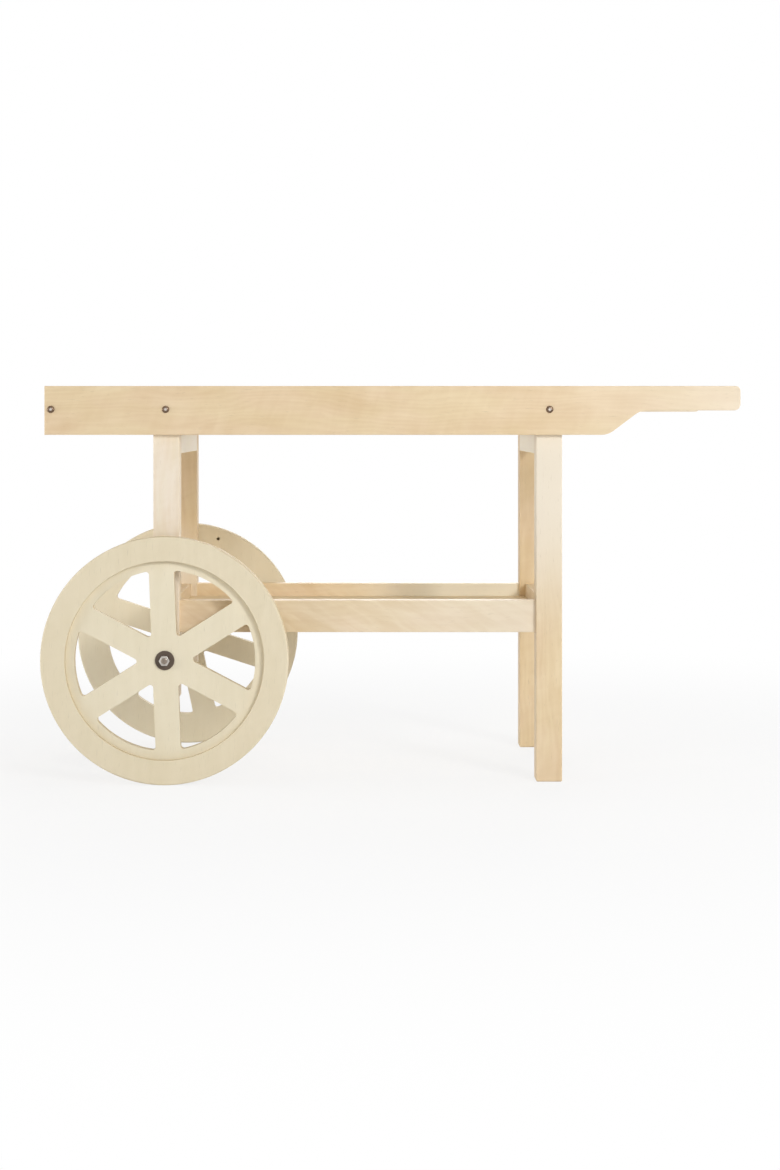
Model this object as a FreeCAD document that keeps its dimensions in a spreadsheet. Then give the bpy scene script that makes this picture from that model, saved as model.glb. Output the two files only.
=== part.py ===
import FreeCAD, Part
import Sketcher
import os

# A two-wheeled wooden market cart: long side rails that end in handles, four legs, a deck between
# the rails, a shelf below it, and two spoked wheels on one axle.
# Millimetres. +X points to the handles, +Y to the cart's right side, +Z up. The origin is on the
# floor, under the middle of the whole cart.

# Driving sizes, one spreadsheet cell each
SIZES = {
    # Whole cart
    "overall_height": 762,
    "width_over_legs": 490,
    "axle_to_rail_end": 233,
    "leg_spacing": 737.5,
    "leg_to_shoulder": 99.5,
    "leg_to_tip": 366.5,
    "overrun": 2,
    # Side rails and their handles
    "rail_height": 94,
    "rail_thickness": 22,
    "rail_housing": 10,
    "rail_arris": 1.5,
    "shoulder_radius": 38.5,
    "shoulder_angle": 37,
    "grip_height": 47,
    "tip_top_radius": 9,
    "tip_bottom_radius": 12,
    # Legs
    "leg_width": 50,
    "leg_below_axle": 76,
    "leg_arris": 1.5,
    "foot_chamfer": 2,
    # Boards across the cart
    "end_board_thickness": 25,
    "cross_thickness": 25,
    "upper_cross_height": 106,
    "board_arris": 1,
    # Deck
    "deck_recess": 12,
    "deck_thickness": 12,
    "deck_cleat_width": 20,
    # Shelf
    "shelf_rail_above_axle": 50,
    "shelf_rail_height": 61.5,
    "shelf_rail_recess": 10,
    "shelf_recess": 27,
    "shelf_thickness": 9,
    "shelf_cleat_width": 18,
    "panel_clearance": 0.5,
    # Tenons
    "rail_tenon_thickness": 12,
    "rail_tenon_length": 20,
    "cross_tenon_thickness": 10,
    "cross_tenon_length": 15,
    "tenon_height": 40,
    "upper_tenon_drop": 55,
    "mortise_clearance": 0.2,
    # Wheels
    "wheel_diameter": 474,
    "wheel_gap": 13,
    "web_thickness": 18,
    "rim_thickness": 12,
    "rim_width": 47,
    "rim_round": 3,
    "rim_step_round": 1,
    "web_ledge": 17,
    "window_corner_radius": 6,
    "spoke_count": 6,
    "spoke_width": 48,
    "jig_hole_diameter": 7,
    "jig_hole_inset": 23,
    "left_wheel_turn": 2.2,
    "right_wheel_turn": 12,
    # Axle and hubs
    "axle_diameter": 12,
    "axle_fit": 0.05,
    "axle_chamfer": 1,
    "axle_stick_out": 2.5,
    "axle_end_play": 0.3,
    "bush_diameter": 22,
    "hub_flange_diameter": 37,
    "hub_flange_thickness": 3,
    "hub_flange_bevel": 1,
    "spacer_diameter": 20,
    "nut_across_flats": 18,
    "nut_height": 10,
    "nut_bevel_angle": 30,
    # Rail bolts and their barrel nuts
    "bolt_diameter": 8,
    "bolt_length": 50,
    "bolt_hole_clearance": 0.3,
    "bolt_above_underside": 49,
    "bolt_head_diameter": 14,
    "bolt_head_height": 4.4,
    "bolt_head_round": 4,
    "socket_across_flats": 5,
    "socket_depth": 2.6,
    "barrel_diameter": 12,
    "barrel_length": 18,
    "barrel_depth": 20,
    "barrel_clearance": 0.2,
}

# Sizes and places that follow from the driving sizes
DERIVED = {
    "axle_z": "=wheel_diameter / 2",
    "axle_to_shoulder": "=leg_spacing + leg_to_shoulder",
    "axle_to_tip": "=leg_spacing + leg_to_tip",
    "axle_x": "=(wheel_diameter / 2 - axle_to_tip) / 2",
    "handle_leg_x": "=axle_x + leg_spacing",
    "half_leg": "=leg_width / 2",
    "half_width": "=width_over_legs / 2",
    "leg_y": "=half_width - half_leg",
    "leg_inner_y": "=half_width - leg_width",
    "rail_inner_y": "=half_width - rail_housing",
    "rail_y": "=rail_inner_y + rail_thickness / 2",
    "rail_outer_y": "=rail_inner_y + rail_thickness",
    "rail_end_x": "=axle_x - axle_to_rail_end",
    "rail_underside": "=overall_height - rail_height",
    "grip_rise": "=rail_height - grip_height",
    "deck_underside": "=overall_height - deck_recess - deck_thickness",
    "deck_start_x": "=rail_end_x + end_board_thickness",
    "deck_end_x": "=axle_x + axle_to_shoulder",
    "shelf_z": "=axle_z + shelf_rail_above_axle + shelf_rail_height / 2",
    "shelf_rail_thickness": "=leg_width - 2 * shelf_rail_recess",
    "shelf_rail_length": "=leg_spacing - leg_width",
    "shelf_inner_y": "=half_width - shelf_rail_recess - shelf_rail_thickness",
    "shelf_underside": "=shelf_z + shelf_rail_height / 2 - shelf_recess - shelf_thickness",
    "middle_x": "=axle_x + leg_spacing / 2",
    "upper_tenon_z": "=deck_underside - upper_tenon_drop - tenon_height / 2",
    "bolt_z": "=rail_underside + bolt_above_underside",
    "barrel_y": "=rail_inner_y - barrel_depth",
    "bolt_hole_diameter": "=bolt_diameter + 2 * bolt_hole_clearance",
    "barrel_hole_diameter": "=barrel_diameter + 2 * barrel_clearance",
    "axle_hole_diameter": "=axle_diameter + 2 * axle_fit",
    "wheel_inner_y": "=half_width + wheel_gap",
    "rim_inner_diameter": "=wheel_diameter - 2 * rim_width",
    "window_diameter": "=rim_inner_diameter - 2 * web_ledge",
    "jig_hole_radius": "=wheel_diameter / 2 - jig_hole_inset",
    "flange_outer_y": "=wheel_inner_y + web_thickness + hub_flange_thickness",
    "nut_inner_y": "=flange_outer_y + axle_end_play",
    "axle_half_length": "=nut_inner_y + nut_height + axle_stick_out",
    "spacer_length": "=wheel_gap - axle_end_play",
}

LEFT, RIGHT = -1, 1
WHEEL_END, HANDLE_END = 1, -1      # the way from that pair of legs to the middle of the cart
SIDE_NAMES = {LEFT: "left", RIGHT: "right"}
END_NAMES = {WHEEL_END: "wheel", HANDLE_END: "handle"}
LEG_X = {WHEEL_END: "cart.axle_x", HANDLE_END: "cart.handle_leg_x"}

UP = FreeCAD.Vector(0, 0, 1)
ALONG = {
    "x": FreeCAD.Rotation(UP, FreeCAD.Vector(1, 0, 0)),
    "y": FreeCAD.Rotation(UP, FreeCAD.Vector(0, 1, 0)),
    "z": FreeCAD.Rotation(),
}
NEAR_ZERO = 1e-6

doc = FreeCAD.newDocument("market_cart")
sheet = doc.addObject("Spreadsheet::Sheet", "cart")
for row, (alias, value) in enumerate({**SIZES, **DERIVED}.items(), 1):
    sheet.set("A%d" % row, alias)
    sheet.set("B%d" % row, str(value))
    sheet.setAlias("B%d" % row, alias)
doc.recompute()

nodes = []


def new_body(name, kept=True):
    """Start a sub-part, which becomes a node under its own name unless it is only a pattern for one."""
    body = doc.addObject("PartDesign::Body", name)
    body.Label = name
    if kept:
        nodes.append(body)
    return body


def place(thing, x="0", y="0", z="0"):
    """Tie a sub-part's or a feature's position to the sheet."""
    for axis, where in zip("xyz", (x, y, z)):
        thing.setExpression("Placement.Base." + axis, where)


def block(body, name, size, centre, cut=False):
    """Add a square-edged block to a body, or cut one out of it, round a centre."""
    box = body.newObject("PartDesign::SubtractiveBox" if cut else "PartDesign::AdditiveBox", name)
    for edge, length in zip(("Length", "Width", "Height"), size):
        box.setExpression(edge, length)
    place(box, *["%s - (%s) / 2" % (middle, length) for middle, length in zip(centre, size)])
    return box


def rod(body, name, axis, diameter, length, centre, cut=False):
    """Add a round rod to a body, or drill one out of it, along an axis and round a centre."""
    kind = "PartDesign::SubtractiveCylinder" if cut else "PartDesign::AdditiveCylinder"
    cylinder = body.newObject(kind, name)
    cylinder.Placement = FreeCAD.Placement(FreeCAD.Vector(), ALONG[axis])
    cylinder.setExpression("Radius", "(%s) / 2" % diameter)
    cylinder.setExpression("Height", length)
    middles = dict(zip("xyz", centre))
    middles[axis] = "%s - (%s) / 2" % (middles[axis], length)
    place(cylinder, middles["x"], middles["y"], middles["z"])
    return cylinder


def hexagon(body, name, across_flats, length, start, cut=False):
    """Add a hexagonal prism to a body, or cut one out of it, towards +Y from a start."""
    prism = body.newObject("PartDesign::SubtractivePrism" if cut else "PartDesign::AdditivePrism", name)
    prism.Polygon = 6
    prism.Placement = FreeCAD.Placement(FreeCAD.Vector(), ALONG["y"])
    prism.setExpression("Circumradius", "%s / (2 * cos(30))" % across_flats)
    prism.setExpression("Height", length)
    place(prism, y=start)
    return prism


def dress(body, kind, name, width, wanted):
    """Round or chamfer the edges of a body that a test picks out."""
    doc.recompute()
    base = body.Tip
    picked = ["Edge%d" % number for number, edge in enumerate(base.Shape.Edges, 1) if wanted(edge)]
    feature = body.newObject("PartDesign::" + kind, name)
    feature.Base = (base, picked)
    feature.setExpression("Radius" if kind == "Fillet" else "Size", width)
    return feature


def in_plane(axis, position):
    """Return a test for edges that lie in a plane across an axis."""
    def test(edge):
        span = {"x": edge.BoundBox.XLength, "y": edge.BoundBox.YLength, "z": edge.BoundBox.ZLength}[axis]
        return span < NEAR_ZERO and abs(getattr(edge.CenterOfMass, axis) - value_of(position)) < NEAR_ZERO
    return test


def is_ring(diameter, position):
    """Return a test for round edges of a given diameter in a plane across the axle."""
    lies_there = in_plane("y", position)

    def test(edge):
        if not lies_there(edge) or edge.Curve.TypeId != "Part::GeomCircle":
            return False
        return abs(edge.Curve.Radius - value_of(diameter) / 2) < NEAR_ZERO
    return test


def runs_along(axis):
    """Return a test for straight edges along an axis."""
    def test(edge):
        spans = dict(zip("xyz", (edge.BoundBox.XLength, edge.BoundBox.YLength, edge.BoundBox.ZLength)))
        return spans.pop(axis) > NEAR_ZERO and max(spans.values()) < NEAR_ZERO
    return test


def value_of(expression):
    """Return what an expression comes to now."""
    return float(sheet.evalExpression(expression))


def new_sketch(body, name, plane):
    """Start a sketch on one of a body's own origin planes."""
    sketch = body.newObject("Sketcher::SketchObject", name)
    support = [feature for feature in body.Origin.OriginFeatures if feature.Role == plane][0]
    sketch.AttachmentSupport = (support, [""])
    sketch.MapMode = "FlatFace"
    return sketch


def bind(sketch, constraint, expression):
    """Add a constraint to a sketch and tie its value to the sheet."""
    sketch.setExpression("Constraints[%d]" % sketch.addConstraint(constraint), expression)


def bind_newest_arc(sketch, radius):
    """Tie the radius of the arc that was drawn last."""
    arcs = [number for number, edge in enumerate(sketch.Geometry) if edge.TypeId == "Part::GeomArcOfCircle"]
    bind(sketch, Sketcher.Constraint("Radius", arcs[-1], value_of(radius)), radius)


def draw_outline(sketch, corners, rounds):
    """Draw a closed outline through corners, and round those that have a radius."""
    places = [FreeCAD.Vector(value_of(across), value_of(up), 0) for across, up in corners]
    count = len(places)
    for number, start in enumerate(places):
        sketch.addGeometry(Part.LineSegment(start, places[(number + 1) % count]), False)
    for number, start in enumerate(places):
        sketch.addConstraint(Sketcher.Constraint("Coincident", (number - 1) % count, 2, number, 1))
        bind(sketch, Sketcher.Constraint("DistanceX", -1, 1, number, 1, start.x), corners[number][0])
        bind(sketch, Sketcher.Constraint("DistanceY", -1, 1, number, 1, start.y), corners[number][1])
    for number, radius in rounds.items():
        sketch.fillet(number - 1, 2, value_of(radius), True, True)
        bind_newest_arc(sketch, radius)


def draw_circle(sketch, diameter, across="0", up="0"):
    """Draw a circle of a given diameter round a point."""
    centre = FreeCAD.Vector(value_of(across), value_of(up), 0)
    circle = sketch.addGeometry(Part.Circle(centre, UP, value_of(diameter) / 2), False)
    bind(sketch, Sketcher.Constraint("Diameter", circle, value_of(diameter)), diameter)
    bind(sketch, Sketcher.Constraint("DistanceX", -1, 1, circle, 3, centre.x), across)
    bind(sketch, Sketcher.Constraint("DistanceY", -1, 1, circle, 3, centre.y), up)


def pad(body, name, sketch, thickness, reverse=False, both_ways=False):
    """Thicken a sketch into a solid."""
    feature = body.newObject("PartDesign::Pad", name)
    feature.Profile = sketch
    feature.setExpression("Length", thickness)
    feature.Reversed = reverse
    feature.Midplane = both_ways
    return feature


def pocket(body, name, sketch, reverse):
    """Cut a sketch right through a body."""
    feature = body.newObject("PartDesign::Pocket", name)
    feature.Profile = sketch
    feature.Type = "ThroughAll"
    feature.Reversed = reverse
    return feature


def turned(body, name, sketch):
    """Turn a sketch about its upright axis into a solid."""
    feature = body.newObject("PartDesign::Revolution", name)
    feature.Profile = sketch
    feature.ReferenceAxis = (sketch, ["V_Axis"])
    feature.Angle = 360
    return feature


def make_side_rail(side):
    """One board from the wheel end to the handle tip, cut away below to make the handle."""
    body = new_body("side_rail_" + SIDE_NAMES[side])
    sketch = new_sketch(body, "rail_outline", "XZ_Plane")
    shoulder = "cart.axle_to_shoulder + cart.shoulder_radius * tan(cart.shoulder_angle / 2)"
    corners = [
        ("-cart.axle_to_rail_end", "0"),
        (shoulder, "0"),
        (shoulder + " + cart.grip_rise / tan(cart.shoulder_angle)", "cart.grip_rise"),
        ("cart.axle_to_tip", "cart.grip_rise"),
        ("cart.axle_to_tip", "cart.rail_height"),
        ("-cart.axle_to_rail_end", "cart.rail_height"),
    ]
    draw_outline(sketch, corners, {1: "cart.shoulder_radius", 2: "cart.shoulder_radius",
                                   3: "cart.tip_bottom_radius", 4: "cart.tip_top_radius"})
    pad(body, "rail_board", sketch, "cart.rail_thickness", both_ways=True)
    dress(body, "Fillet", "outer_arrises", "cart.rail_arris", in_plane("y", "cart.rail_thickness / 2"))
    dress(body, "Fillet", "inner_arrises", "cart.rail_arris", in_plane("y", "-cart.rail_thickness / 2"))
    bolt_places = {
        "end_bolt": "cart.end_board_thickness / 2 - cart.axle_to_rail_end",
        "wheel_leg_bolt": "0",
        "handle_leg_bolt": "cart.leg_spacing",
    }
    for name, where in bolt_places.items():
        rod(body, name + "_hole", "y", "cart.bolt_hole_diameter", "cart.rail_thickness + 2 * cart.overrun",
            (where, "0", "cart.bolt_above_underside"), cut=True)
    place(body, "cart.axle_x", "%d * cart.rail_y" % side, "cart.rail_underside")


def make_leg(end, side):
    """One leg: housed for the side rail, mortised for its cross rails and shelf rail, and drilled."""
    body = new_body("leg_%s_%s" % (END_NAMES[end], SIDE_NAMES[side]))
    foot = "(cart.axle_z - cart.leg_below_axle)" if end == WHEEL_END else "0"
    height = "(cart.deck_underside - %s)" % foot
    block(body, "leg_stock", ("cart.leg_width", "cart.leg_width", height),
          ("0", "0", foot + " + %s / 2" % height))
    dress(body, "Chamfer", "foot_chamfer", "cart.foot_chamfer", in_plane("z", foot))
    dress(body, "Fillet", "leg_arrises", "cart.leg_arris", runs_along("z"))
    housing_height = "(cart.deck_underside - cart.rail_underside + cart.overrun)"
    block(body, "rail_housing",
          ("cart.leg_width + 2 * cart.overrun", "cart.rail_housing + cart.overrun", housing_height),
          ("0", "%d * (cart.half_leg - (cart.rail_housing - cart.overrun) / 2)" % side,
           "cart.rail_underside + %s / 2" % housing_height), cut=True)
    mortise_depth = "(cart.rail_tenon_length + cart.mortise_clearance)"
    block(body, "shelf_rail_mortise",
          (mortise_depth + " + cart.overrun", "cart.rail_tenon_thickness + 2 * cart.mortise_clearance",
           "cart.tenon_height + 2 * cart.mortise_clearance"),
          ("%d * (cart.half_leg - (%s - cart.overrun) / 2)" % (end, mortise_depth), "0", "cart.shelf_z"),
          cut=True)
    mortise_depth = "(cart.cross_tenon_length + cart.mortise_clearance)"
    cross_mortise = ("cart.cross_tenon_thickness + 2 * cart.mortise_clearance",
                     mortise_depth + " + cart.overrun", "cart.tenon_height + 2 * cart.mortise_clearance")
    mortise_y = "%d * ((%s - cart.overrun) / 2 - cart.half_leg)" % (side, mortise_depth)
    block(body, "lower_cross_mortise", cross_mortise, ("0", mortise_y, "cart.shelf_z"), cut=True)
    block(body, "upper_cross_mortise", cross_mortise,
          ("%d * (cart.half_leg - cart.cross_thickness / 2)" % end, mortise_y, "cart.upper_tenon_z"),
          cut=True)
    rod(body, "bolt_hole", "y", "cart.bolt_hole_diameter", "cart.bolt_length",
        ("0", "%d * (cart.rail_outer_y - cart.leg_y - cart.bolt_length / 2)" % side, "cart.bolt_z"),
        cut=True)
    rod(body, "barrel_hole", "x", "cart.barrel_hole_diameter",
        "cart.half_leg + cart.barrel_length / 2 + cart.overrun",
        ("%d * (cart.half_leg - cart.barrel_length / 2 + cart.overrun) / 2" % end,
         "%d * (cart.barrel_y - cart.leg_y)" % side, "cart.bolt_z"), cut=True)
    if end == WHEEL_END:
        rod(body, "axle_hole", "y", "cart.axle_hole_diameter", "cart.leg_width + 2 * cart.overrun",
            ("0", "0", "cart.axle_z"), cut=True)
    place(body, LEG_X[end], "%d * cart.leg_y" % side)


def make_cross_board(name, height, x, z, tenon_z):
    """One board between a pair of legs, with a tenon at each end."""
    body = new_body(name)
    block(body, "board", ("cart.cross_thickness", "2 * cart.leg_inner_y", height), ("0", "0", "0"))
    dress(body, "Fillet", "board_arrises", "cart.board_arris", runs_along("y"))
    block(body, "tenons",
          ("cart.cross_tenon_thickness", "2 * (cart.leg_inner_y + cart.cross_tenon_length)",
           "cart.tenon_height"),
          ("0", "0", "%s - (%s)" % (tenon_z, z)))
    place(body, x, "0", z)


def make_end_board():
    """The board that closes the deck at the wheel end, bolted between the side rails."""
    body = new_body("end_board")
    block(body, "board", ("cart.end_board_thickness", "2 * cart.rail_inner_y", "cart.rail_height"),
          ("0", "0", "0"))
    dress(body, "Fillet", "board_arrises", "cart.board_arris", runs_along("y"))
    bolt_height = "cart.bolt_above_underside - cart.rail_height / 2"
    depth = "(cart.bolt_length - cart.rail_thickness)"
    for side, side_name in SIDE_NAMES.items():
        rod(body, "bolt_hole_" + side_name, "y", "cart.bolt_hole_diameter", depth + " + cart.overrun",
            ("0", "%d * (cart.rail_inner_y - (%s - cart.overrun) / 2)" % (side, depth), bolt_height),
            cut=True)
        rod(body, "barrel_hole_" + side_name, "x", "cart.barrel_hole_diameter",
            "(cart.end_board_thickness + cart.barrel_length) / 2 + cart.overrun",
            ("(cart.end_board_thickness - cart.barrel_length) / 4 + cart.overrun / 2",
             "%d * cart.barrel_y" % side, bolt_height), cut=True)
    place(body, "cart.rail_end_x + cart.end_board_thickness / 2", "0",
          "cart.rail_underside + cart.rail_height / 2")


def make_deck():
    """The deck panel and the cleats along the rails that carry it between and beyond the legs."""
    body = new_body("deck_panel")
    length = "(cart.deck_end_x - cart.deck_start_x)"
    block(body, "panel",
          (length + " - cart.panel_clearance", "2 * (cart.rail_inner_y - cart.panel_clearance)",
           "cart.deck_thickness"),
          (length + " / 2 + cart.panel_clearance / 2", "0", "cart.deck_thickness / 2"))
    dress(body, "Fillet", "panel_arrises", "cart.board_arris", runs_along("y"))
    place(body, "cart.deck_start_x", "0", "cart.deck_underside")
    spans = {
        "end": ("cart.deck_start_x", "cart.axle_x - cart.half_leg"),
        "middle": ("cart.axle_x + cart.half_leg", "cart.handle_leg_x - cart.half_leg"),
        "handle": ("cart.handle_leg_x + cart.half_leg", "cart.deck_end_x"),
    }
    for side, side_name in SIDE_NAMES.items():
        for span_name, (start, finish) in spans.items():
            cleat = new_body("deck_cleat_%s_%s" % (span_name, side_name))
            length = "(%s - (%s))" % (finish, start)
            block(cleat, "strip", (length, "cart.deck_cleat_width", "cart.deck_cleat_width"),
                  (length + " / 2", "0", "-cart.deck_cleat_width / 2"))
            dress(cleat, "Fillet", "strip_arrises", "cart.board_arris", runs_along("x"))
            place(cleat, start, "%d * (cart.rail_inner_y - cart.deck_cleat_width / 2)" % side,
                  "cart.deck_underside")


def make_shelf_rail(side):
    """One rail between the legs of a side, above and below the edge of the shelf."""
    body = new_body("shelf_rail_" + SIDE_NAMES[side])
    block(body, "board", ("cart.shelf_rail_length", "cart.shelf_rail_thickness", "cart.shelf_rail_height"),
          ("0", "0", "0"))
    dress(body, "Fillet", "board_arrises", "cart.board_arris", runs_along("x"))
    block(body, "tenons",
          ("cart.shelf_rail_length + 2 * cart.rail_tenon_length", "cart.rail_tenon_thickness",
           "cart.tenon_height"),
          ("0", "0", "0"))
    place(body, "cart.middle_x", "%d * cart.leg_y" % side, "cart.shelf_z")


def make_shelf():
    """The shelf panel, notched round the legs, and the cleats inside the shelf rails that carry it."""
    body = new_body("shelf_panel")
    length = "(cart.leg_spacing - cart.cross_thickness - 2 * cart.panel_clearance)"
    width = "2 * (cart.shelf_inner_y - cart.panel_clearance)"
    block(body, "panel", (length, width, "cart.shelf_thickness"), ("0", "0", "cart.shelf_thickness / 2"))
    notch = "cart.leg_width + 2 * cart.panel_clearance"
    for end, end_name in END_NAMES.items():
        for side, side_name in SIDE_NAMES.items():
            block(body, "notch_%s_%s" % (end_name, side_name),
                  (notch, notch, "cart.shelf_thickness + 2 * cart.overrun"),
                  ("%d * cart.leg_spacing / 2" % -end, "%d * cart.leg_y" % side, "cart.shelf_thickness / 2"),
                  cut=True)
    place(body, "cart.middle_x", "0", "cart.shelf_underside")
    for side, side_name in SIDE_NAMES.items():
        cleat = new_body("shelf_cleat_" + side_name)
        block(cleat, "strip", ("cart.shelf_rail_length", "cart.shelf_cleat_width", "cart.shelf_cleat_width"),
              ("0", "0", "-cart.shelf_cleat_width / 2"))
        dress(cleat, "Fillet", "strip_arrises", "cart.board_arris", runs_along("x"))
        place(cleat, "cart.middle_x", "%d * (cart.shelf_inner_y - cart.shelf_cleat_width / 2)" % side,
              "cart.shelf_underside")


def draw_window(sketch):
    """Draw the opening between two spokes, which runs up the sketch's upright axis."""
    half_spoke = value_of("cart.spoke_width / 2")
    radius = value_of("cart.window_diameter / 2")
    half_angle = value_of("180 / cart.spoke_count")
    reach = (radius ** 2 - half_spoke ** 2) ** 0.5
    spoke = FreeCAD.Rotation(UP, -half_angle)
    root = FreeCAD.Vector(0, value_of("cart.spoke_width / 2 / sin(180 / cart.spoke_count)"), 0)
    right = spoke.multVec(FreeCAD.Vector(-half_spoke, reach, 0))
    left = FreeCAD.Vector(-right.x, right.y, 0)
    circle = Part.Circle(FreeCAD.Vector(), UP, radius)
    sketch.addGeometry(Part.LineSegment(root, right), False)
    sketch.addGeometry(Part.ArcOfCircle(circle, circle.parameter(right), circle.parameter(left)), False)
    sketch.addGeometry(Part.LineSegment(left, root), False)
    for first, first_end, second, second_end in ((0, 2, 1, 1), (1, 2, 2, 1), (2, 2, 0, 1), (1, 3, -1, 1)):
        sketch.addConstraint(Sketcher.Constraint("Coincident", first, first_end, second, second_end))
    sketch.addConstraint(Sketcher.Constraint("PointOnObject", 0, 1, -2))
    bind(sketch, Sketcher.Constraint("Diameter", 1, 2 * radius), "cart.window_diameter")
    bind(sketch, Sketcher.Constraint("DistanceY", -1, 1, 0, 1, root.y),
         "cart.spoke_width / 2 / sin(180 / cart.spoke_count)")
    middles = [(root + right) / 2, FreeCAD.Vector(0, radius, 0), (root + left) / 2]
    corner = value_of("cart.window_corner_radius")
    for first, second in ((0, 1), (1, 2), (2, 0)):
        sketch.fillet(first, second, middles[first], middles[second], corner, True, True)
        bind_newest_arc(sketch, "cart.window_corner_radius")
    for edge, way in ((0, 1), (2, -1)):
        slope = FreeCAD.Units.Quantity(way * (90 - half_angle), FreeCAD.Units.Angle).getValueAs("rad").Value
        bind(sketch, Sketcher.Constraint("Angle", edge, slope),
             "%d * (90 deg - 180 deg / cart.spoke_count)" % way)


def seat_wheel_piece(body, side, turn):
    """Put a wheel's piece on the axle, at the angle that the wheel rests at."""
    rotation = FreeCAD.Rotation(FreeCAD.Vector(0, -1, 0), value_of(turn))
    body.Placement = FreeCAD.Placement(FreeCAD.Vector(), rotation)
    body.setExpression("Placement.Rotation.Angle", "1 deg * (%s)" % turn)
    place(body, "cart.axle_x", "%d * cart.wheel_inner_y" % side, "cart.axle_z")


def make_wheel(side):
    """One wheel: a spoked web, a rim on its outer face and a flanged bush, drawn from its inner face."""
    side_name = SIDE_NAMES[side]
    turn = "cart.%s_wheel_turn - 180 / cart.spoke_count" % side_name
    backwards = side == RIGHT
    web = new_body("wheel_web_" + side_name)
    disc = new_sketch(web, "web_outline", "XZ_Plane")
    draw_circle(disc, "cart.wheel_diameter")
    draw_circle(disc, "cart.bush_diameter")
    for way in ("", "-"):
        draw_circle(disc, "cart.jig_hole_diameter", "0", way + "cart.jig_hole_radius")
    pad(web, "web_disc", disc, "cart.web_thickness", reverse=backwards)
    window = new_sketch(web, "window_outline", "XZ_Plane")
    draw_window(window)
    opening = pocket(web, "window", window, reverse=not backwards)
    pattern = web.newObject("PartDesign::PolarPattern", "windows")
    pattern.Originals = [opening]
    pattern.Axis = (window, ["N_Axis"])
    pattern.Angle = 360
    pattern.setExpression("Occurrences", "cart.spoke_count")
    web.Tip = pattern
    dress(web, "Fillet", "web_rim_round", "cart.rim_round", is_ring("cart.wheel_diameter", "0"))
    seat_wheel_piece(web, side, turn)

    rim = new_body("wheel_rim_" + side_name)
    ring = new_sketch(rim, "rim_outline", "XZ_Plane")
    ring.setExpression("AttachmentOffset.Base.z", "%d * cart.web_thickness" % -side)
    draw_circle(ring, "cart.wheel_diameter")
    draw_circle(ring, "cart.rim_inner_diameter")
    pad(rim, "rim_ring", ring, "cart.rim_thickness", reverse=backwards)
    outer_face = "%d * (cart.web_thickness + cart.rim_thickness)" % side
    dress(rim, "Fillet", "rim_round", "cart.rim_round", is_ring("cart.wheel_diameter", outer_face))
    dress(rim, "Fillet", "rim_step_round", "cart.rim_step_round",
          is_ring("cart.rim_inner_diameter", outer_face))
    seat_wheel_piece(rim, side, turn)

    bush = new_body("wheel_bush_" + side_name)
    profile = new_sketch(bush, "bush_profile", "XY_Plane")
    seat = "%d * cart.web_thickness" % side
    face = "%d * (cart.web_thickness + cart.hub_flange_thickness)" % side
    bevel = "%d * cart.hub_flange_bevel" % side
    draw_outline(profile, [
        ("cart.axle_hole_diameter / 2", "0"),
        ("cart.bush_diameter / 2", "0"),
        ("cart.bush_diameter / 2", seat),
        ("cart.hub_flange_diameter / 2", seat),
        ("cart.hub_flange_diameter / 2", face + " - " + bevel),
        ("cart.hub_flange_diameter / 2 - cart.hub_flange_bevel", face),
        ("cart.axle_hole_diameter / 2", face),
    ], {})
    turned(bush, "bush_turning", profile)
    seat_wheel_piece(bush, side, turn)


def bevel_nut_corners(nut, name, way):
    """Turn the six corners of one end of a nut down to a circle as wide as the nut is across its flats."""
    corner = new_sketch(nut, name + "_corner_profile", "XY_Plane")
    circle = "cart.nut_across_flats / 2"
    beyond = "(cart.nut_across_flats / 2 + cart.overrun)"
    face = "%d * cart.nut_height / 2" % way
    draw_outline(corner, [
        (circle, face),
        (beyond, "%d * (cart.nut_height / 2 - cart.overrun * tan(cart.nut_bevel_angle))" % way),
        (beyond, face),
    ], {})
    bevel = nut.newObject("PartDesign::Groove", name + "_corner_bevel")
    bevel.Profile = corner
    bevel.ReferenceAxis = (corner, ["V_Axis"])
    bevel.Angle = 360


def make_axle():
    """The rod through the wheel-end legs, with a spacer and a nut at each side."""
    body = new_body("axle")
    rod(body, "axle_rod", "y", "cart.axle_diameter", "2 * cart.axle_half_length", ("0", "0", "0"))
    for side, side_name in SIDE_NAMES.items():
        dress(body, "Chamfer", side_name + "_end", "cart.axle_chamfer",
              is_ring("cart.axle_diameter", "%d * cart.axle_half_length" % side))
    place(body, "cart.axle_x", "0", "cart.axle_z")
    for side, side_name in SIDE_NAMES.items():
        spacer = new_body("axle_spacer_" + side_name)
        rod(spacer, "tube", "y", "cart.spacer_diameter", "cart.spacer_length", ("0", "0", "0"))
        rod(spacer, "bore", "y", "cart.axle_hole_diameter", "cart.spacer_length + 2 * cart.overrun",
            ("0", "0", "0"), cut=True)
        place(spacer, "cart.axle_x", "%d * (cart.half_width + cart.spacer_length / 2)" % side, "cart.axle_z")
        nut = new_body("axle_nut_" + side_name)
        hexagon(nut, "nut_blank", "cart.nut_across_flats", "cart.nut_height", "-cart.nut_height / 2")
        rod(nut, "bore", "y", "cart.axle_hole_diameter", "cart.nut_height + 2 * cart.overrun",
            ("0", "0", "0"), cut=True)
        for way, end_name in ((-1, "lower"), (1, "upper")):
            bevel_nut_corners(nut, end_name, way)
        place(nut, "cart.axle_x", "%d * (cart.nut_inner_y + cart.nut_height / 2)" % side, "cart.axle_z")


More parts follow.
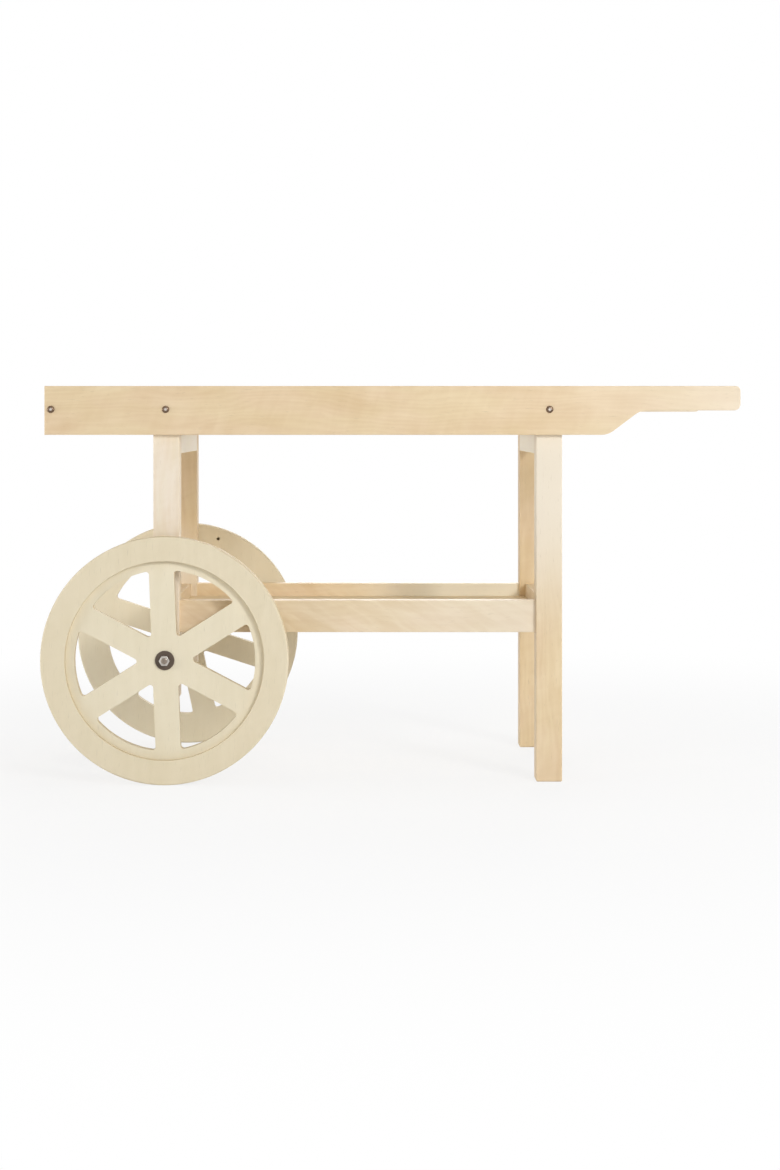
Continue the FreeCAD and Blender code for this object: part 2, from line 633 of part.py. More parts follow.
def make_group(name, pattern, seats):
    """Repeat one fastener at its seats, as one node of separate solids."""
    links = []
    for number, (x, side) in enumerate(seats):
        link = doc.addObject("App::Link", "%s_%d" % (pattern.Label, number))
        link.LinkedObject = pattern
        half_turns = 0 if side == RIGHT else 1
        link.Placement = FreeCAD.Placement(FreeCAD.Vector(), FreeCAD.Rotation(UP, 180 * half_turns))
        links.append((link, x, side))
    group = doc.addObject("Part::Compound", name)
    group.Label = name
    group.Links = [link for link, x, side in links]
    nodes.append(group)
    return links


def make_rail_bolts():
    """The bolts through the side rails, and their barrel nuts in the legs and the end board."""
    bolt = new_body("rail_bolt", kept=False)
    profile = new_sketch(bolt, "bolt_profile", "XY_Plane")
    draw_outline(profile, [
        ("0", "-cart.bolt_length"),
        ("cart.bolt_diameter / 2", "-cart.bolt_length"),
        ("cart.bolt_diameter / 2", "0"),
        ("cart.bolt_head_diameter / 2", "0"),
        ("cart.bolt_head_diameter / 2", "cart.bolt_head_height"),
        ("0", "cart.bolt_head_height"),
    ], {4: "cart.bolt_head_round"})
    turned(bolt, "bolt_turning", profile)
    hexagon(bolt, "socket", "cart.socket_across_flats", "cart.socket_depth + cart.overrun",
            "cart.bolt_head_height - cart.socket_depth", cut=True)
    barrel = new_body("barrel_nut", kept=False)
    rod(barrel, "barrel", "x", "cart.barrel_diameter", "cart.barrel_length", ("0", "0", "0"))
    rod(barrel, "cross_bore", "y", "cart.bolt_hole_diameter", "cart.barrel_diameter + 2 * cart.overrun",
        ("0", "0", "0"), cut=True)
    rows = ("cart.rail_end_x + cart.end_board_thickness / 2", "cart.axle_x", "cart.handle_leg_x")
    seats = [(x, side) for side in SIDE_NAMES for x in rows]
    for link, x, side in make_group("rail_bolts", bolt, seats):
        place(link, x, "%d * cart.rail_outer_y" % side, "cart.bolt_z")
    for link, x, side in make_group("barrel_nuts", barrel, seats):
        place(link, x, "%d * cart.barrel_y" % side, "cart.bolt_z")


for cart_side in SIDE_NAMES:
    make_side_rail(cart_side)
    make_shelf_rail(cart_side)
    make_wheel(cart_side)
    for cart_end in END_NAMES:
        make_leg(cart_end, cart_side)
for cart_end, cart_end_name in END_NAMES.items():
    inset = "%s + %d * (cart.half_leg - cart.cross_thickness / 2)" % (LEG_X[cart_end], cart_end)
    make_cross_board("upper_cross_rail_" + cart_end_name, "cart.upper_cross_height", inset,
                     "cart.deck_underside - cart.upper_cross_height / 2", "cart.upper_tenon_z")
    make_cross_board("lower_cross_board_" + cart_end_name, "cart.shelf_rail_height", LEG_X[cart_end],
                     "cart.shelf_z", "cart.shelf_z")
make_end_board()
make_deck()
make_shelf()
make_axle()
make_rail_bolts()
doc.recompute()

faults = [feature.Label for feature in doc.Objects if {"Invalid", "Error"} & set(feature.State)]
faults += [node.Label for node in nodes if node.Shape.isNull() or not node.Shape.isValid()]
if faults:
    raise RuntimeError("these did not build: " + ", ".join(faults))
os.makedirs("parts", exist_ok=True)
for node in nodes:
    node.Shape.exportStep("parts/%s.step" % node.Label)
print("%d nodes, %d solids" % (len(nodes), sum(len(node.Shape.Solids) for node in nodes)))
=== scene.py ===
"""Looks of the wooden market cart: lacquered birch boards and plywood wheels on a steel axle."""
import math

import bpy
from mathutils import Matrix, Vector


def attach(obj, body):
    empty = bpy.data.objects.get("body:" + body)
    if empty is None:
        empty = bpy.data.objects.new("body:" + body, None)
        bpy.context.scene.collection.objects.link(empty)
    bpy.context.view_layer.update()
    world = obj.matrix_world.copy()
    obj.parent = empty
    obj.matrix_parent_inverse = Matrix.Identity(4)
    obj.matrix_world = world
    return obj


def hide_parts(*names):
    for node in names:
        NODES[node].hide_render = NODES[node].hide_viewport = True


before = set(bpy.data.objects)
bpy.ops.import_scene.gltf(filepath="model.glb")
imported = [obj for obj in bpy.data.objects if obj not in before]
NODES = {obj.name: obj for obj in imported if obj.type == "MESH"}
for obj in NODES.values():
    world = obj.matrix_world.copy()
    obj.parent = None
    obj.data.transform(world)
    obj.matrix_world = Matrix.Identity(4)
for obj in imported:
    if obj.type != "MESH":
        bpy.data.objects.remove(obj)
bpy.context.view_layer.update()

# The camera that took the photograph
CAMERA_PLACE = (-0.0535, -4.388, 0.692)
CAMERA_LENS = 66.2
CAMERA_SENSOR = 36
CAMERA_SHIFT = (0.0226, -0.139)

# How often each part of the wood's figure comes in a metre: along the grain, across it and into the board
DRIFT_SCALE = (2.2, 9.0, 9.0)
FIBRE_SCALE = (8.0, 420.0, 420.0)
STREAK_SCALE = (3.0, 52.0, 52.0)
MOTTLE_SCALE = (7.0, 16.0, 16.0)
CURL_SCALE = (62.0, 11.0, 11.0)
PATCH_SCALE = (6.0, 16.0, 16.0)
BOARD_FLECK_SCALE = (55.0, 760.0, 760.0)
VENEER_FLECK_SCALE = (48.0, 640.0, 640.0)
PORE_SCALE = (300.0, 900.0, 900.0)
PLY_SCALE = (420.0, 420.0, 1400.0)

# How much each part counts in the wood's light and dark; the curl's share is each board's own
RING_SHARE = 0.07
FIBRE_SHARE = 0.14
STREAK_SHARE = 0.28
MOTTLE_SHARE = 0.62

# Growth rings: their widths, the wave texture's own width, where they lie and how far they drift
BOARD_RINGS = 0.009
VENEER_RINGS = 0.016
WAVE_WIDTH = 0.314
RING_PLACE = (0.0, 0.02, 0.07)
RING_DRIFT = (0.0, 0.09, 0.06)

# How far the figure moves from one seed to the next
SEED_STEP = (1.37, 0.61, 0.83)

# How wide a band along its arrises each material has, where it is worn and painted lighter as a
# highlight, and how high its grain or grit stands
BOARD_ARRIS_BAND = 0.0014
VENEER_ARRIS_BAND = 0.0012
STEEL_ARRIS_BAND = 0.0006
NYLON_ARRIS_BAND = 0.0008
WOOD_RELIEF = 0.0004
STEEL_RELIEF = 0.0002
NYLON_RELIEF = 0.0002

# The bolts' sockets: how far from their axes the painted glint reaches, and how softly it ends
GLINT_RADIUS = 0.0030
GLINT_EDGE = 0.0008

# How often scratches, grit and patches come in a metre on steel, on nylon and along the arrises
SCRATCH_SCALE = (900.0, 4200.0, 900.0)
STEEL_PATCH_SCALE = (160.0, 160.0, 160.0)
GRIT_SCALE = (1600.0, 1600.0, 1600.0)
CLOUD_SCALE = (110.0, 110.0, 110.0)
ARRIS_PATCH_SCALE = (38.0, 38.0, 38.0)


def tone(red, green, blue):
    """Return a colour, given as it looks on screen from 0 to 255, as linear values."""
    linear = []
    for share in (red / 255, green / 255, blue / 255):
        linear.append(share / 12.92 if share <= 0.04045 else ((share + 0.055) / 1.055) ** 2.4)
    return linear + [1]


def shaded(colour, share):
    """Return a colour with that share of its light."""
    return [value * share for value in colour[:3]] + [1]


def browned(colour, share):
    """Return a wood colour with that share of its light, turned towards brown."""
    return [colour[0] * share, colour[1] * share * 0.90, colour[2] * share * 0.74, 1]


# Tones of the worn arrises, painted lighter as a highlight, and of the bolts' painted socket glint; and
# how the wood's rosier patches differ from the rest
WORN_AND_HIGHLIT_STEEL = tone(235, 233, 228)
SOCKET_GLINT_TONE = tone(226, 218, 209)
WORN_AND_HIGHLIT_NYLON = tone(150, 132, 112)
ROSIER = (1.008, 0.992, 1.03)


def extent(node, axis):
    """Return where a CAD node starts and ends along an axis, as it stands at rest."""
    places = [vertex.co["XYZ".index(axis)] for vertex in NODES[node].data.vertices]
    return min(places), max(places)


def middle(node, axis):
    """Return the middle of a CAD node along an axis, as it stands at rest."""
    return sum(extent(node, axis)) / 2


class Shader:
    """The node tree of a material or of the world, with short ways to add nodes and join them."""

    def __init__(self, name, world=False):
        self.block = (bpy.data.worlds if world else bpy.data.materials).new(name)
        self.block.use_nodes = True
        self.block.node_tree.nodes.clear()
        self.output = "OutputWorld" if world else "OutputMaterial"

    def add(self, kind, inputs=None, **settings):
        """Add a node, with its settings and with what goes into its sockets."""
        node = self.block.node_tree.nodes.new("ShaderNode" + kind)
        for name, value in settings.items():
            setattr(node, name, value)
        for name, value in (inputs or {}).items():
            if isinstance(value, bpy.types.NodeSocket):
                self.block.node_tree.links.new(value, node.inputs[name])
            else:
                node.inputs[name].default_value = value
        return node

    def math(self, operation, first, second=0.0, third=0.0):
        """Return a number worked out from others."""
        return self.add("Math", {0: first, 1: second, 2: third}, operation=operation).outputs[0]

    def vector(self, operation, first, second):
        """Return a vector worked out from two others."""
        return self.add("VectorMath", {0: first, 1: second}, operation=operation).outputs["Vector"]

    def noise(self, place, scale, detail=2.0, roughness=0.5, distortion=0.0):
        """Return even noise from 0 to 1 at a place; the scale says how often it changes on each axis."""
        sockets = {"Vector": self.vector("MULTIPLY", place, scale), "Scale": 1.0, "Detail": detail,
                   "Roughness": roughness, "Distortion": distortion}
        return self.add("TexNoise", sockets).outputs["Fac"]

    def ease(self, value, start, end, low=0.0, high=1.0):
        """Return a value led smoothly from one range to another."""
        sockets = {"Value": value, "From Min": start, "From Max": end, "To Min": low, "To Max": high}
        return self.add("MapRange", sockets, interpolation_type="SMOOTHSTEP").outputs["Result"]

    def mix(self, share, first, second):
        """Return a colour mixed from two others."""
        return self.add("Mix", {0: share, 6: first, 7: second}, data_type="RGBA").outputs[2]

    def relief(self, height, strength, distance):
        """Return the direction of a surface with a fine relief on it."""
        return self.add("Bump", {"Height": height, "Strength": strength, "Distance": distance}).outputs[0]

    def seen(self):
        """Return 1 for the rays that show a thing to the camera, and 0 for those that only light it."""
        rays = self.add("LightPath")
        seen = self.math("MAXIMUM", rays.outputs["Is Camera Ray"], rays.outputs["Is Glossy Ray"])
        return self.math("MAXIMUM", seen, rays.outputs["Is Transmission Ray"])

    def finish(self, surface):
        """Join the surface shader to the tree's output and return the material or the world."""
        self.add(self.output, {"Surface": surface})
        return self.block


def board_place(shader, grain, depth, seed):
    """Return a place in a board as (along, across, into), first moved by its seed, and where it faces."""
    coordinates = shader.add("TexCoord")
    parts = shader.add("SeparateXYZ", {0: coordinates.outputs["Object"]})
    across = ({"X", "Y", "Z"} - {grain, depth}).pop()
    order = {number: parts.outputs[axis] for number, axis in enumerate((grain, across, depth))}
    place = shader.add("CombineXYZ", order).outputs[0]
    facing = shader.add("SeparateXYZ", {0: coordinates.outputs["Normal"]})
    return shader.vector("ADD", place, [seed * step for step in SEED_STEP]), place, facing


def growth_rings(shader, place, width, lean):
    """Return the growth rings at a place, from 0 to 1, drifting along the board round a leaning heart."""
    drift = shader.noise(place, DRIFT_SCALE, 3.0)
    shift = shader.add("CombineXYZ", {1: drift, 2: drift}).outputs[0]
    bent = shader.vector("ADD", shader.vector("MULTIPLY", shift, RING_DRIFT), place)
    sockets = {"Vector": bent, "Location": RING_PLACE, "Rotation": (0.0, lean, lean * 0.6)}
    tilted = shader.add("Mapping", sockets).outputs[0]
    sockets = {"Vector": tilted, "Scale": WAVE_WIDTH / width, "Distortion": 1.2, "Detail": 2.0,
               "Detail Scale": 1.5}
    rings = shader.add("TexWave", sockets, wave_type="RINGS", rings_direction="X", wave_profile="SIN")
    return rings.outputs["Fac"]


def grain_tone(shader, place, ring_width, lean, figure, curl_lean):
    """Return how light the wood is, from 0 to 1, and its fine fibres, from 0 to 1."""
    rings = growth_rings(shader, place, ring_width, lean)
    fibres = shader.noise(place, FIBRE_SCALE, 4.0, 0.62)
    streaks = shader.noise(place, STREAK_SCALE, 3.0, 0.6)
    mottle = shader.noise(place, MOTTLE_SCALE, 3.0, 0.55, 0.6)
    slanted = shader.add("Mapping", {"Vector": place, "Rotation": (0.0, 0.0, curl_lean)}).outputs[0]
    curl = shader.noise(slanted, CURL_SCALE, 2.0, 0.5, 0.5)
    parts = ((rings, RING_SHARE), (fibres, FIBRE_SHARE), (streaks, STREAK_SHARE), (mottle, MOTTLE_SHARE),
             (curl, figure))
    light = 0.5 - sum(share for part, share in parts) / 2
    for part, share in parts:
        light = shader.math("MULTIPLY_ADD", part, share, light)
    return light, fibres


def arris_wear_and_highlight(shader, width):
    """Return a mask, from 0 to 1, that follows the arrises and breaks up along them: wear, and a painted
    highlight where their rounding would catch light.
    """
    rounded = shader.add("Bevel", {"Radius": width}, samples=4)
    flat = shader.add("NewGeometry").outputs["Normal"]
    agreement = shader.add("VectorMath", {0: rounded.outputs[0], 1: flat}, operation="DOT_PRODUCT")
    edge = shader.ease(agreement.outputs["Value"], 0.995, 0.88)
    patches = shader.noise(shader.add("TexCoord").outputs["Object"], ARRIS_PATCH_SCALE, 3.0, 0.6)
    return shader.math("MULTIPLY", edge, shader.ease(patches, 0.35, 0.65, 0.25, 1.0))


def lacquered(shader, colour, fibres, edge_wear_and_highlight, roughness, shine):
    """Return a lacquered surface, duller where it is worn."""
    rough = shader.math("MULTIPLY_ADD", fibres, 0.16, roughness - 0.08)
    rough = shader.math("MULTIPLY_ADD", edge_wear_and_highlight, 0.12, rough)
    relief = shader.relief(fibres, 0.22, WOOD_RELIEF)
    sockets = {"Base Color": colour, "Roughness": rough, "Normal": relief, "IOR": 1.48,
               "Specular IOR Level": shine, "Coat Weight": 0.08 * shine, "Coat Roughness": 0.22}
    return shader.finish(shader.add("BsdfPrincipled", sockets).outputs[0])


def solid_wood(name, grain, depth, seed, tones, lean=0.05, figure=0.18, curl_lean=0.35, pale=None,
               roughness=0.50, shine=0.5):
    """A lacquered board of solid birch; pale is where along its grain it turns, how much and to what."""
    dark, light = tones
    shader = Shader(name)
    place, bare_place, facing = board_place(shader, grain, depth, seed)
    lightness, fibres = grain_tone(shader, place, BOARD_RINGS, lean, figure, curl_lean)
    colour = shader.mix(shader.ease(lightness, 0.15, 0.85), dark, light)
    patches = shader.noise(place, PATCH_SCALE, 2.0)
    rosier = shader.vector("MULTIPLY", colour, ROSIER)
    colour = shader.mix(shader.ease(patches, 0.38, 0.62), colour, rosier)
    if pale:
        start, end, share, pale_tone = pale
        along = shader.add("SeparateXYZ", {0: bare_place}).outputs[0]
        colour = shader.mix(shader.ease(along, start, end, 0.0, share), colour, pale_tone)
    flecks = shader.noise(place, BOARD_FLECK_SCALE, 1.0)
    colour = shader.mix(shader.ease(flecks, 0.68, 0.80, 0.0, 0.3), colour, shaded(dark, 0.55))
    ends = shader.ease(shader.math("ABSOLUTE", facing.outputs[grain]), 0.75, 0.95)
    pores = shader.noise(place, PORE_SCALE, 2.0, 0.6)
    end_colour = shader.mix(shader.ease(pores, 0.35, 0.7), shaded(dark, 0.62), dark)
    colour = shader.mix(shader.math("MULTIPLY", ends, 0.75), colour, end_colour)
    edge_wear_and_highlight = arris_wear_and_highlight(shader, BOARD_ARRIS_BAND)
    # Painted highlight: the arrises turn towards the light tone as if catching light, together with their
    # wear
    colour = shader.mix(shader.math("MULTIPLY", edge_wear_and_highlight, 0.35), colour, light)
    return lacquered(shader, colour, fibres, edge_wear_and_highlight, roughness, shine)


def plies(shader, place, level, dark, light):
    """Return the colour of plywood's edge: every other ply browner, and a dark seam between two plies."""
    turned = shader.math("GREATER_THAN", shader.math("FLOORED_MODULO", level, 2.0), 1.0)
    seam = shader.ease(shader.math("PINGPONG", level, 0.5), 0.0, 0.09, 1.0, 0.0)
    speckle = shader.noise(place, PLY_SCALE, 2.0, 0.6)
    along_grain = shader.mix(speckle, dark, light)
    across_grain = shader.mix(speckle, browned(dark, 0.68), browned(dark, 0.94))
    colour = shader.mix(turned, along_grain, across_grain)
    return shader.mix(shader.math("MULTIPLY", seam, 0.45), colour, shaded(dark, 0.40))


def plywood(name, grain, depth, seed, tones, face, ply, roughness=0.62, shine=0.5):
    """Lacquered birch plywood: veneer on its faces, and its plies on the edges, counted from one face."""
    dark, light = tones
    shader = Shader(name)
    place, bare_place, facing = board_place(shader, grain, depth, seed)
    lightness, fibres = grain_tone(shader, place, VENEER_RINGS, lean=0.11, figure=0.2, curl_lean=0.35)
    colour = shader.mix(shader.ease(lightness, 0.1, 0.9), dark, light)
    flecks = shader.noise(place, VENEER_FLECK_SCALE, 1.0)
    colour = shader.mix(shader.ease(flecks, 0.66, 0.78, 0.0, 0.26), colour, shaded(dark, 0.6))
    into = shader.add("SeparateXYZ", {0: bare_place}).outputs[2]
    level = shader.math("DIVIDE", shader.math("SUBTRACT", into, face), ply)
    edges = shader.ease(shader.math("ABSOLUTE", facing.outputs[depth]), 0.72, 0.45)
    colour = shader.mix(edges, colour, plies(shader, place, level, dark, light))
    edge_wear_and_highlight = arris_wear_and_highlight(shader, VENEER_ARRIS_BAND)
    # Painted highlight: the arrises turn towards the light tone as if catching light, together with their
    # wear
    colour = shader.mix(shader.math("MULTIPLY", edge_wear_and_highlight, 0.3), colour, light)
    return lacquered(shader, colour, fibres, edge_wear_and_highlight, roughness, shine)


def nearest_line(shader, place, lines):
    """Return how far a place is from the nearest of some lines across the cart, given as (x, 0, z)."""
    flat = shader.vector("MULTIPLY", place, (1.0, 0.0, 1.0))
    nearest = 1.0
    for line in lines:
        away = shader.add("VectorMath", {0: flat, 1: line}, operation="DISTANCE").outputs["Value"]
        nearest = shader.math("MINIMUM", nearest, away)
    return nearest


def steel(name, colour, roughness, scratch, bolt_lines=()):
    """Steel with fine scratches and a few duller patches, worn arrises painted brighter as a highlight,
    and a painted glint in the bolts' sockets.
    """
    shader = Shader(name)
    place = shader.add("TexCoord").outputs["Object"]
    scratches = shader.noise(place, SCRATCH_SCALE, 3.0, 0.6)
    patches = shader.noise(place, STEEL_PATCH_SCALE, 3.0, 0.6)
    base = shader.mix(shader.ease(patches, 0.3, 0.7), shaded(colour, 0.72), colour)
    edge_wear_and_highlight = arris_wear_and_highlight(shader, STEEL_ARRIS_BAND)
    # Painted highlight: the worn arrises turn brighter as if catching light
    base = shader.mix(shader.math("MULTIPLY", edge_wear_and_highlight, 0.5), base, WORN_AND_HIGHLIT_STEEL)
    # Painted glint: the bolts' sockets are painted bright round their axes
    if bolt_lines:
        from_axis = nearest_line(shader, place, bolt_lines)
        glint = shader.ease(from_axis, GLINT_RADIUS - GLINT_EDGE, GLINT_RADIUS, 0.8, 0.0)
        base = shader.mix(glint, base, SOCKET_GLINT_TONE)
    rough = shader.math("MULTIPLY_ADD", patches, 0.2, roughness - 0.1)
    rough = shader.math("MULTIPLY_ADD", scratches, 0.1, rough)
    relief = shader.relief(scratches, scratch, STEEL_RELIEF)
    sockets = {"Base Color": base, "Roughness": rough, "Normal": relief, "Metallic": 1.0}
    return shader.finish(shader.add("BsdfPrincipled", sockets).outputs[0])


def nylon(name, colour):
    """Moulded nylon: matt, with a fine grit and worn arrises painted paler as a highlight."""
    shader = Shader(name)
    place = shader.add("TexCoord").outputs["Object"]
    grit = shader.noise(place, GRIT_SCALE, 3.0, 0.6)
    base = shader.mix(shader.noise(place, CLOUD_SCALE, 2.0), shaded(colour, 0.8), colour)
    edge_wear_and_highlight = arris_wear_and_highlight(shader, NYLON_ARRIS_BAND)
    # Painted highlight: the worn arrises turn paler as if catching light
    base = shader.mix(shader.math("MULTIPLY", edge_wear_and_highlight, 0.5), base, WORN_AND_HIGHLIT_NYLON)
    rough = shader.math("MULTIPLY_ADD", grit, 0.2, 0.42)
    sockets = {"Base Color": base, "Roughness": rough, "Normal": shader.relief(grit, 0.25, NYLON_RELIEF)}
    return shader.finish(shader.add("BsdfPrincipled", sockets).outputs[0])


# Camera
lens = bpy.data.cameras.new("photo_lens")
lens.lens = CAMERA_LENS
lens.sensor_width = CAMERA_SENSOR
lens.shift_x, lens.shift_y = CAMERA_SHIFT
camera = bpy.data.objects.new("photo_camera", lens)
camera.location = CAMERA_PLACE
camera.rotation_euler = (math.radians(90), 0, 0)
bpy.context.scene.collection.objects.link(camera)
bpy.context.scene.camera = camera

# Tones of wood, each from dark to light
RAIL = (tone(218, 191, 148), tone(236, 216, 180))
BIRCH = (tone(223, 198, 158), tone(240, 222, 190))
PALE = (tone(231, 214, 184), tone(244, 234, 214))
VENEER = (tone(229, 210, 175), tone(244, 230, 203))
# Cream: the cross rails' own paler tone, made paler still as painted light for the bright light on their
# inner faces
CREAM_WITH_PAINTED_LIGHT = (tone(241, 232, 206), tone(247, 240, 220))
NEAR_RIM = (tone(225, 212, 182), tone(234, 222, 195))
NEAR_WEB = (tone(230, 219, 191), tone(239, 229, 204))
# Painted light: the far wheel's tones are a little paler than the near wheel's, standing in for light its
# inner face lacks
FAR_WHEEL_PAINTED_PALER = (tone(233, 222, 194), tone(240, 230, 205))
# A paler tone that some boards turn to along part of their length
PALER_TONE = tone(236, 226, 208)
# Painted light: the far shelf rail turns to this paler tone towards its handle end, standing in for the
# light that reaches it there
FAR_SHELF_PAINTED_LIGHT = CREAM_WITH_PAINTED_LIGHT[1]

# Boards: grain, depth, seed, tones and options; each has its own seed, so no two show the same grain
BOARDS = {
    "side_rail_left": ("X", "Y", 1, RAIL, {"lean": 0.02, "pale": (0.25, 0.80, 0.6, PALER_TONE)}),
    "side_rail_right": ("X", "Y", 2, RAIL, {"lean": 0.03, "pale": (0.35, 0.70, 0.6, PALER_TONE)}),
    "shelf_rail_left": ("X", "Y", 3, BIRCH,
                        {"figure": 0.75, "curl_lean": -1.05, "pale": (-0.3, 0.4, 0.6, PALER_TONE)}),
    # The far shelf rail's handle end turns paler: painted light
    "shelf_rail_right": ("X", "Y", 4, BIRCH,
                         {"figure": 0.5, "curl_lean": -0.9, "pale": (-0.14, 0.10, 0.95, FAR_SHELF_PAINTED_LIGHT)}),
    "leg_wheel_left": ("Z", "Y", 5, PALE, {}),
    "leg_wheel_right": ("Z", "Y", 6, RAIL, {"pale": (0.50, 0.36, 0.6, PALER_TONE)}),
    "leg_handle_left": ("Z", "Y", 7, RAIL, {"pale": (0.22, 0.54, 0.9, PALER_TONE)}),
    "leg_handle_right": ("Z", "Y", 8, RAIL, {}),
    # The cross rails' cream tone is partly painted light
    "upper_cross_rail_wheel": ("Y", "X", 9, CREAM_WITH_PAINTED_LIGHT, {"roughness": 0.36}),
    "upper_cross_rail_handle": ("Y", "X", 10, CREAM_WITH_PAINTED_LIGHT, {"roughness": 0.36}),
    "lower_cross_board_wheel": ("Y", "X", 11, BIRCH, {}),
    "lower_cross_board_handle": ("Y", "X", 12, BIRCH, {}),
    "end_board": ("Y", "X", 13, BIRCH, {}),
}
CLEAT_ROWS = ("deck_cleat_end", "deck_cleat_middle", "deck_cleat_handle", "shelf_cleat")
for row in CLEAT_ROWS:
    for side in ("left", "right"):
        BOARDS[f"{row}_{side}"] = ("X", "Y", len(BOARDS) + 1, BIRCH, {})

# Panels: grain, depth, seed, tones, number of plies and options
MATT = {"roughness": 0.82, "shine": 0.06}
PANELS = {
    "deck_panel": ("X", "Z", 22, VENEER, 9, MATT),
    "shelf_panel": ("X", "Z", 23, VENEER, 7, MATT),
    "wheel_web_left": ("Z", "Y", 24, NEAR_WEB, 13, {}),
    "wheel_rim_left": ("Z", "Y", 25, NEAR_RIM, 9, {}),
    "wheel_web_right": ("Z", "Y", 26, FAR_WHEEL_PAINTED_PALER, 13, {}),
    "wheel_rim_right": ("Z", "Y", 27, FAR_WHEEL_PAINTED_PALER, 9, {}),
}

# Fittings; the bolts go through the rails into these nodes, and their sockets, with the painted glint,
# lie on these lines
BOLTED = ("end_board", "leg_wheel_left", "leg_handle_left")
BOLT_LINES = [(middle(node, "X"), 0.0, middle("rail_bolts", "Z")) for node in BOLTED]
ZINC = steel("zinc_steel", tone(206, 200, 192), 0.3, 0.1)
PLAIN_STEEL = steel("plain_steel", tone(124, 104, 88), 0.22, 0.08, BOLT_LINES)
ROD_STEEL = steel("rod_steel", tone(150, 138, 126), 0.28, 0.1)
NYLON = nylon("hub_nylon", tone(88, 73, 60))
FITTINGS = {
    "axle": ROD_STEEL,
    "axle_nut_left": ZINC,
    "axle_nut_right": ZINC,
    "axle_spacer_left": ZINC,
    "axle_spacer_right": ZINC,
    "barrel_nuts": ZINC,
    "rail_bolts": PLAIN_STEEL,
    "wheel_bush_left": NYLON,
    "wheel_bush_right": NYLON,
}


def dress(node, material):
    """Give a CAD node its material."""
    NODES[node].data.materials.clear()
    NODES[node].data.materials.append(material)


for node, (grain, depth, seed, tones, options) in BOARDS.items():
    dress(node, solid_wood("birch_" + node, grain, depth, seed, tones, **options))
for node, (grain, depth, seed, tones, ply_count, options) in PANELS.items():
    start, end = extent(node, depth)
    first_face = min(start, end, key=abs)
    ply = (end - start) / ply_count
    dress(node, plywood("plywood_" + node, grain, depth, seed, tones, first_face, ply, **options))
for node, material in FITTINGS.items():
    dress(node, material)

# Axle: the same rod with its ends threaded for the nuts
AXLE_X = middle("axle", "X")
AXLE_Z = middle("axle", "Z")
AXLE_RADIUS = extent("axle", "X")[1] - AXLE_X
AXLE_HALF = extent("axle", "Y")[1]
AXLE_CHAMFER = 0.001
THREAD_PITCH = 0.00175
THREAD_DEPTH = 0.00105
THREAD_LENGTH = 0.0143
THREAD_START = AXLE_HALF - THREAD_LENGTH
GROOVE_ROOT = 1.25
GROOVE_FLANK = 3.0
SIDES = 48
STEPS_PER_PITCH = 10


def axle_radius(along, turn):
    """Return the rod's radius at a place along it and at that share of a turn round it."""
    run_out = min(max((abs(along) - THREAD_START) / THREAD_PITCH, 0.0), 1.0)
    phase = (along / THREAD_PITCH + turn) % 1.0
    groove = min(max(GROOVE_ROOT - abs(phase - 0.5) * GROOVE_FLANK, 0.0), 1.0)
    chamfer = max(AXLE_CHAMFER - (AXLE_HALF - abs(along)), 0.0)
    return AXLE_RADIUS - max(THREAD_DEPTH * groove * run_out, chamfer)


def axle_point(along, turn):
    """Return a point on the rod's surface, at a place along it and at that share of a turn round it."""
    radius = axle_radius(along, turn)
    angle = math.tau * turn
    return AXLE_X + radius * math.cos(angle), along, AXLE_Z + radius * math.sin(angle)


def threaded_axle():
    """Return the axle as one closed mesh: a ring of points for each step along its threads."""
    steps = round(THREAD_LENGTH / THREAD_PITCH * STEPS_PER_PITCH)
    outer = [THREAD_START + THREAD_LENGTH * step / steps for step in range(steps)] + [AXLE_HALF]
    stations = [-along for along in reversed(outer)] + outer
    points = [axle_point(along, side / SIDES) for along in stations for side in range(SIDES)]
    faces = []
    for ring in range(len(stations) - 1):
        here, there = ring * SIDES, (ring + 1) * SIDES
        for side in range(SIDES):
            after = (side + 1) % SIDES
            faces.append((here + side, there + side, there + after, here + after))
    last = (len(stations) - 1) * SIDES
    faces.append(tuple(range(SIDES)))
    faces.append(tuple(last + side for side in reversed(range(SIDES))))
    mesh = bpy.data.meshes.new("threaded_axle")
    mesh.from_pydata(points, [], faces)
    mesh.materials.append(ROD_STEEL)
    rod = bpy.data.objects.new("threaded_axle", mesh)
    bpy.context.scene.collection.objects.link(rod)
    return rod


rod = threaded_axle()
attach(rod, "frame")
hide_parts("axle")

# Floor and world
WHITE = (1, 1, 1, 1)
FLOOR_TONE = (0.88, 0.88, 0.88, 1)
FLOOR_SIZE = 60
FLOOR_DROP = 0.0004
SHADOW_START, SHADOW_END = 0.6, 2.4
DAYLIGHT = 0.31


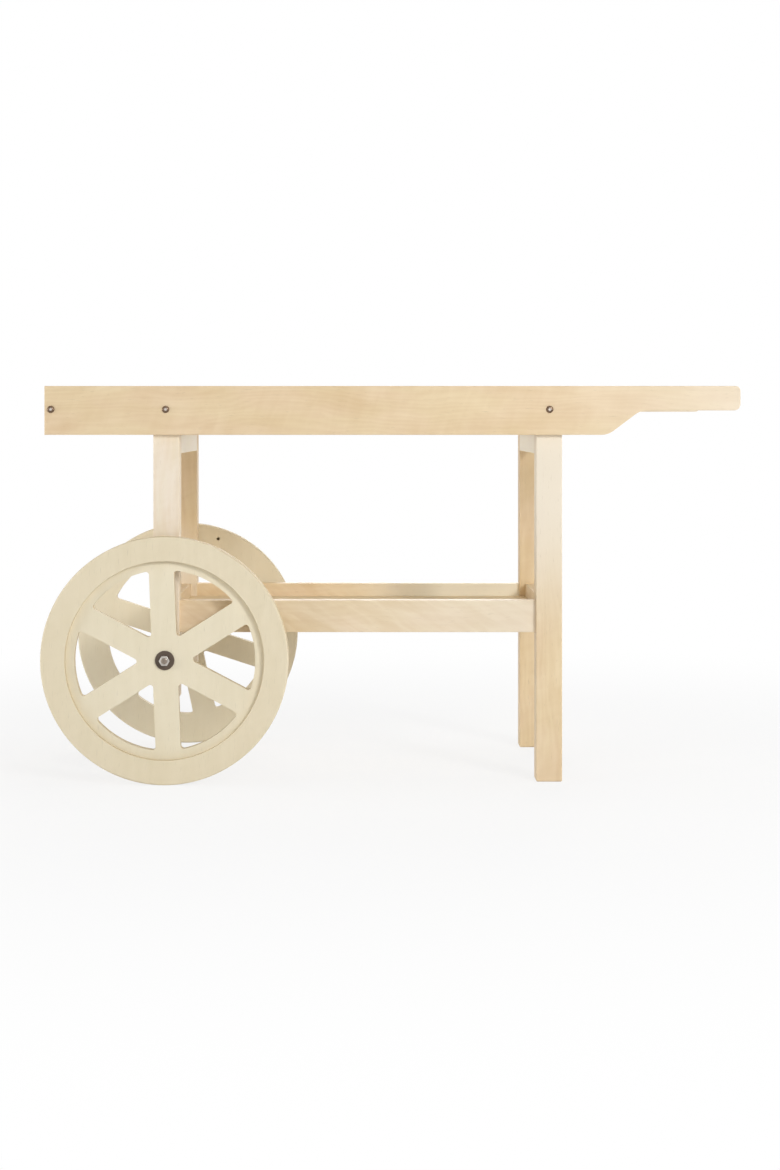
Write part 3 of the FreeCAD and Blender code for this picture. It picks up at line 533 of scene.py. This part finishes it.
def floor_card():
    """A floor that is white where it is seen, but for the cart's shadow, which fades out away from it."""
    shader = Shader("studio_floor")
    place = shader.add("TexCoord").outputs["Object"]
    away = shader.add("VectorMath", {0: place}, operation="LENGTH").outputs["Value"]
    share = shader.math("MULTIPLY", shader.seen(), shader.ease(away, SHADOW_START, SHADOW_END, 0.8, 1.0))
    card = shader.add("BsdfDiffuse", {"Color": FLOOR_TONE}).outputs[0]
    glow = shader.add("Emission", {"Color": WHITE, "Strength": 1.0}).outputs[0]
    return shader.finish(shader.add("MixShader", {0: share, 1: card, 2: glow}).outputs[0])


def studio_world():
    """A world that is plain white where it is seen, and gives soft daylight."""
    shader = Shader("studio", world=True)
    ambient = shader.add("Background", {"Color": WHITE, "Strength": DAYLIGHT}).outputs[0]
    white = shader.add("Background", {"Color": WHITE, "Strength": 1.0}).outputs[0]
    return shader.finish(shader.add("MixShader", {0: shader.seen(), 1: ambient, 2: white}).outputs[0])


bpy.ops.mesh.primitive_plane_add(size=FLOOR_SIZE, location=(0, 0, -FLOOR_DROP))
floor = bpy.context.object
floor.name = "studio_floor"
floor.data.materials.append(floor_card())
bpy.context.scene.world = studio_world()

# Lamps: name, place, width, height and watts, all aimed at the cart's middle
LAMP_AIM = (0.0, 0.0, 0.4)
LAMPS = (
    ("key", (2.55, -4.0, 2.3), 0.35, 0.9, 46),
    ("softbox", (2.2, -4.5, 2.5), 2.4, 2.2, 89),
    ("left", (-3.6, -1.8, 1.3), 0.9, 0.9, 22),
    ("low_right", (3.2, -0.3, 0.12), 0.9, 0.9, 34),
    ("low_left", (-3.2, -0.3, 0.12), 0.9, 0.9, 36),
    ("back", (0.4, 5.0, 2.4), 2.4, 2.4, 88),
    ("top", (0.0, 0.3, 4.0), 1.6, 1.6, 24),
)


def area_light(name, place, width, height, watts):
    """A soft oblong lamp aimed at the cart."""
    lamp = bpy.data.lights.new(name, "AREA")
    lamp.shape = "RECTANGLE"
    lamp.size = width
    lamp.size_y = height
    lamp.energy = watts
    light = bpy.data.objects.new(name, lamp)
    light.location = place
    light.rotation_euler = (Vector(LAMP_AIM) - Vector(place)).to_track_quat("-Z", "Y").to_euler()
    bpy.context.scene.collection.objects.link(light)


for lamp_row in LAMPS:
    area_light(*lamp_row)

bpy.context.scene.view_settings.view_transform = "Standard"
